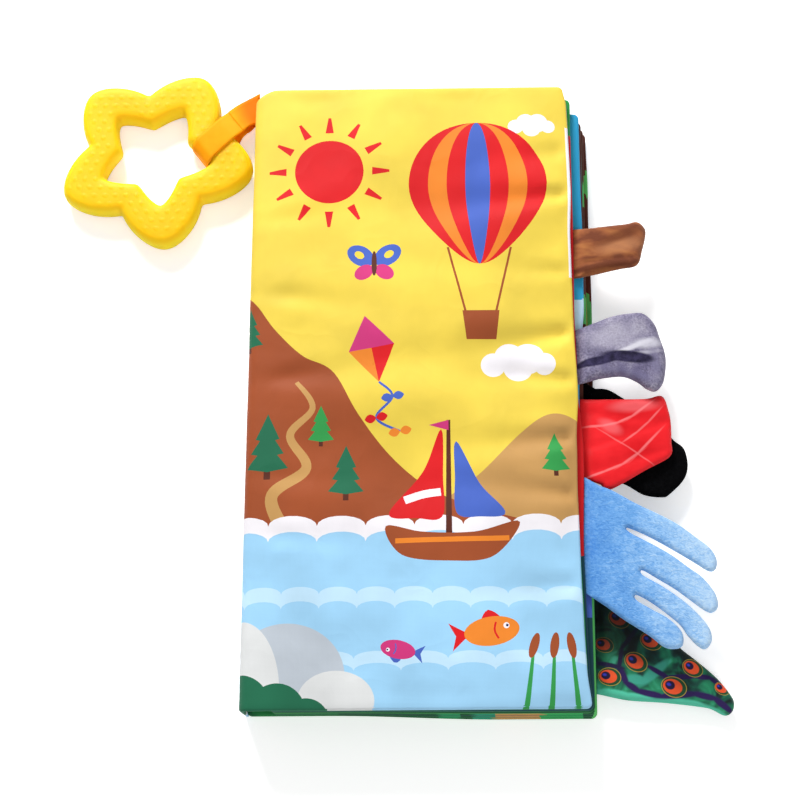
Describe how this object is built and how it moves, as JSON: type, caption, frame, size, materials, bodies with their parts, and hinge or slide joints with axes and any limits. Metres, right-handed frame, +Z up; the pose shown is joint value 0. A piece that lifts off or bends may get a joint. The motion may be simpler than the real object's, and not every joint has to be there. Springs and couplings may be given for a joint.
{
  "type": "crinkle cloth book",
  "caption": "Soft crinkle cloth book, padded cloth leaves sewn at one spine, animal tails sewn along the free edge and a star teether on a ribbon.",
  "frame": {"origin": "middle of the back cover's outer face, which the closed book lies on", "axes": "+X from the spine to the free edge with the tails, +Y from the foot of the book to its head, +Z up out of the front cover"},
  "size_m": [0.246, 0.2514, 0.0224],
  "materials": {
    "cover_print": "printed polyester cloth, matt, fine plain weave, yellow ground",
    "page_print": "printed polyester cloth, matt, fine plain weave, many colours",
    "spine_cloth": "printed polyester cloth, matt",
    "wadding": "white polyester wadding",
    "crinkle_film": "thin clear film, several plies",
    "brown_velour": "short velour with darker streaks",
    "grey_plush": "short lilac-grey plush with a dark stripe",
    "red_satin": "red satin with pale vein lines",
    "black_plush": "black plush",
    "blue_felt": "blue brushed felt, paler towards the tips",
    "eyespot_plush": "green plush with feather eye spots",
    "teether_plastic": "soft yellow plastic with raised dots",
    "ribbon_satin": "orange satin ribbon"
  },
  "bodies": {
    "back_cover": {"back_cover_inner_cloth": "page_print", "back_cover_outer_cloth": "cover_print", "back_cover_crinkle_film": "crinkle_film", "back_cover_wadding": "wadding", "back_cover_spine_hem": "spine_cloth", "spine_rolled_seam": "spine_cloth", "spine_cloth": "spine_cloth", "ribbon_tab": "ribbon_satin"},
    "leaf_4": {"leaf_4_front_cloth": "page_print", "leaf_4_back_cloth": "page_print", "leaf_4_crinkle_film": "crinkle_film", "leaf_4_wadding": "wadding", "leaf_4_spine_hem": "spine_cloth", "eyespot_tail_root": "eyespot_plush"},
    "leaf_3": {"leaf_3_front_cloth": "page_print", "leaf_3_back_cloth": "page_print", "leaf_3_crinkle_film": "crinkle_film", "leaf_3_wadding": "wadding", "leaf_3_spine_hem": "spine_cloth", "black_tail_root": "black_plush"},
    "leaf_2": {"leaf_2_front_cloth": "page_print", "leaf_2_back_cloth": "page_print", "leaf_2_crinkle_film": "crinkle_film", "leaf_2_wadding": "wadding", "leaf_2_spine_hem": "spine_cloth", "red_tail_root": "red_satin"},
    "leaf_1": {"leaf_1_front_cloth": "page_print", "leaf_1_back_cloth": "page_print", "leaf_1_crinkle_film": "crinkle_film", "leaf_1_wadding": "wadding", "leaf_1_spine_hem": "spine_cloth", "brown_tail_root": "brown_velour", "grey_tail_root": "grey_plush", "blue_tail_root": "blue_felt"},
    "front_cover": {"front_cover_outer_cloth": "cover_print", "front_cover_inner_cloth": "page_print", "front_cover_crinkle_film": "crinkle_film", "front_cover_wadding": "wadding", "front_cover_spine_hem": "spine_cloth"},
    "brown_tail": {"brown_tail_front_cloth": "brown_velour", "brown_tail_back_cloth": "brown_velour", "brown_tail_filler": "crinkle_film"},
    "grey_tail": {"grey_tail_front_cloth": "grey_plush", "grey_tail_back_cloth": "grey_plush", "grey_tail_filler": "crinkle_film"},
    "red_tail": {"red_tail_front_cloth": "red_satin", "red_tail_back_cloth": "red_satin", "red_tail_filler": "crinkle_film"},
    "black_tail": {"black_tail_front_cloth": "black_plush", "black_tail_back_cloth": "black_plush", "black_tail_filler": "crinkle_film"},
    "blue_tail": {"blue_tail_front_cloth": "blue_felt", "blue_tail_back_cloth": "blue_felt", "blue_tail_filler": "crinkle_film"},
    "eyespot_tail": {"eyespot_tail_front_cloth": "eyespot_plush", "eyespot_tail_back_cloth": "eyespot_plush", "eyespot_tail_filler": "crinkle_film"},
    "ribbon": {"ribbon_strap": "ribbon_satin"},
    "teether": {"ribbon_loop": "ribbon_satin", "star_teether": "teether_plastic"}
  },
  "joints": [
    {"name": "front_cover_open", "type": "hinge", "parent": "back_cover", "child": "front_cover", "pos_m": [-0.0559, 0, 0.01685], "axis": [0, 1, 0], "range_deg": [-170, 0]},
    {"name": "leaf_1_turn", "type": "hinge", "parent": "back_cover", "child": "leaf_1", "pos_m": [-0.0559, 0, 0.01685], "axis": [0, 1, 0], "range_deg": [-136, 0]},
    {"name": "leaf_2_turn", "type": "hinge", "parent": "back_cover", "child": "leaf_2", "pos_m": [-0.0559, 0, 0.01685], "axis": [0, 1, 0], "range_deg": [-102, 0]},
    {"name": "leaf_3_turn", "type": "hinge", "parent": "back_cover", "child": "leaf_3", "pos_m": [-0.0559, 0, 0.01685], "axis": [0, 1, 0], "range_deg": [-68, 0]},
    {"name": "leaf_4_turn", "type": "hinge", "parent": "back_cover", "child": "leaf_4", "pos_m": [-0.0559, 0, 0.01685], "axis": [0, 1, 0], "range_deg": [-34, 0]},
    {"name": "brown_tail_flap", "type": "hinge", "parent": "leaf_1", "child": "brown_tail", "pos_m": [0.0686, 0.05, 0.0162], "axis": [0, 1, 0], "range_deg": [-60, 60]},
    {"name": "grey_tail_flap", "type": "hinge", "parent": "leaf_1", "child": "grey_tail", "pos_m": [0.06762, 0.00999, 0.0162], "axis": [0, 1, 0], "range_deg": [-60, 0]},
    {"name": "red_tail_flap", "type": "hinge", "parent": "leaf_2", "child": "red_tail", "pos_m": [0.06688, -0.022, 0.01255], "axis": [0, 1, 0], "range_deg": [-60, 0]},
    {"name": "black_tail_flap", "type": "hinge", "parent": "leaf_3", "child": "black_tail", "pos_m": [0.06702, -0.02, 0.0089], "axis": [0, 1, 0], "range_deg": [0, 60]},
    {"name": "blue_tail_flap", "type": "hinge", "parent": "leaf_1", "child": "blue_tail", "pos_m": [0.06601, -0.06099, 0.0162], "axis": [0, 1, 0], "range_deg": [-60, 0]},
    {"name": "eyespot_tail_flap", "type": "hinge", "parent": "leaf_4", "child": "eyespot_tail", "pos_m": [0.06502, -0.098, 0.00525], "axis": [0, 1, 0], "range_deg": [0, 60]},
    {"name": "ribbon_swing", "type": "hinge", "parent": "back_cover", "child": "ribbon", "pos_m": [-0.0616, 0.11273, 0.0053], "axis": [0, -1, 0], "range_deg": [-30, 40]},
    {"name": "teether_swing", "type": "hinge", "parent": "ribbon", "child": "teether", "pos_m": [-0.06671, 0.10888, 0.0053], "axis": [-0.6018, 0.7986, 0], "range_deg": [-40, 30]}
  ],
  "couplings": [
    {"joint": "leaf_1_turn", "follows": "front_cover_open", "ratio": 0.8},
    {"joint": "leaf_2_turn", "follows": "front_cover_open", "ratio": 0.6},
    {"joint": "leaf_3_turn", "follows": "front_cover_open", "ratio": 0.4},
    {"joint": "leaf_4_turn", "follows": "front_cover_open", "ratio": 0.2}
  ]
}
